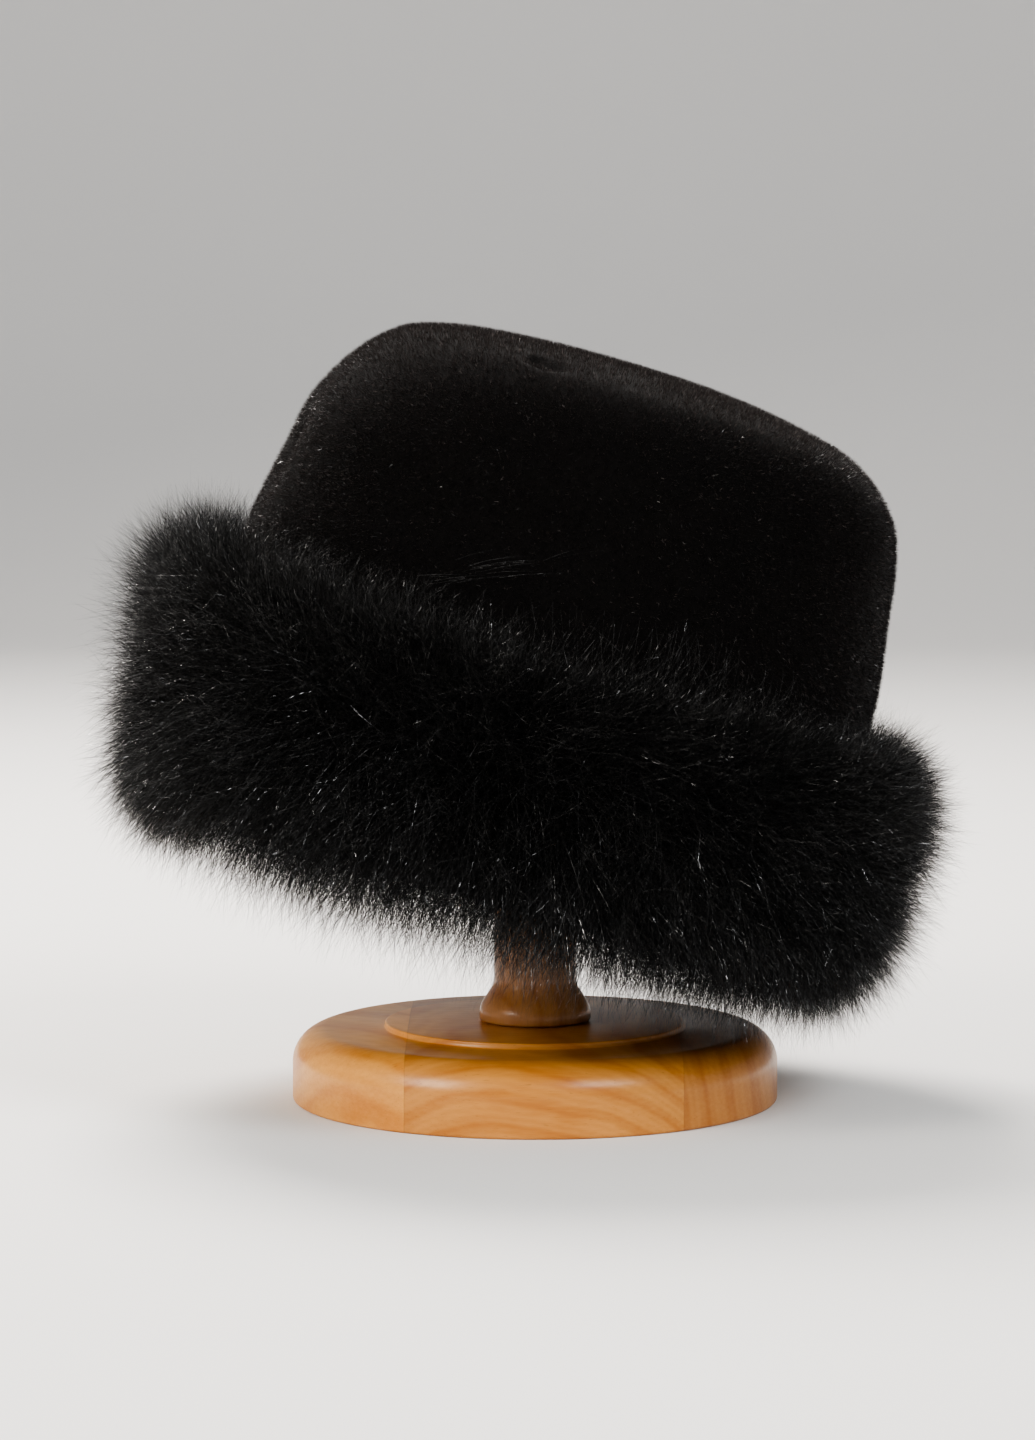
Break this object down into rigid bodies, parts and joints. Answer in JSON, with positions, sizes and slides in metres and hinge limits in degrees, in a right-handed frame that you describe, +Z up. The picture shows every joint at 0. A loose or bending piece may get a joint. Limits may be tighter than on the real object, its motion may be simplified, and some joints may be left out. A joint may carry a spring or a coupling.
{
  "type": "fur-cuffed plush telpek hat on a wooden stand",
  "caption": "Black plush hat with a flattened crown and a deep long-fur cuff, leaning on a turned wooden display stand.",
  "frame": {"origin": "centre of the stand's flat underside", "axes": "+Z up along the stand's axis, +X towards the hat's low side, -Y towards the viewer of the picture"},
  "size_m": [0.2782, 0.2474, 0.2546],
  "materials": {
    "plush": "short dense black pile, soft sheen",
    "fur": "long soft black fur",
    "varnished_wood": "clear satin varnish over honey-coloured wood",
    "plain_wood": "bare sanded wood"
  },
  "bodies": {
    "root": {"crown": "plush", "fur_cuff": "fur", "stand_base": "varnished_wood", "stand_neck": "varnished_wood", "stand_dome": "plain_wood"}
  },
  "joints": []
}
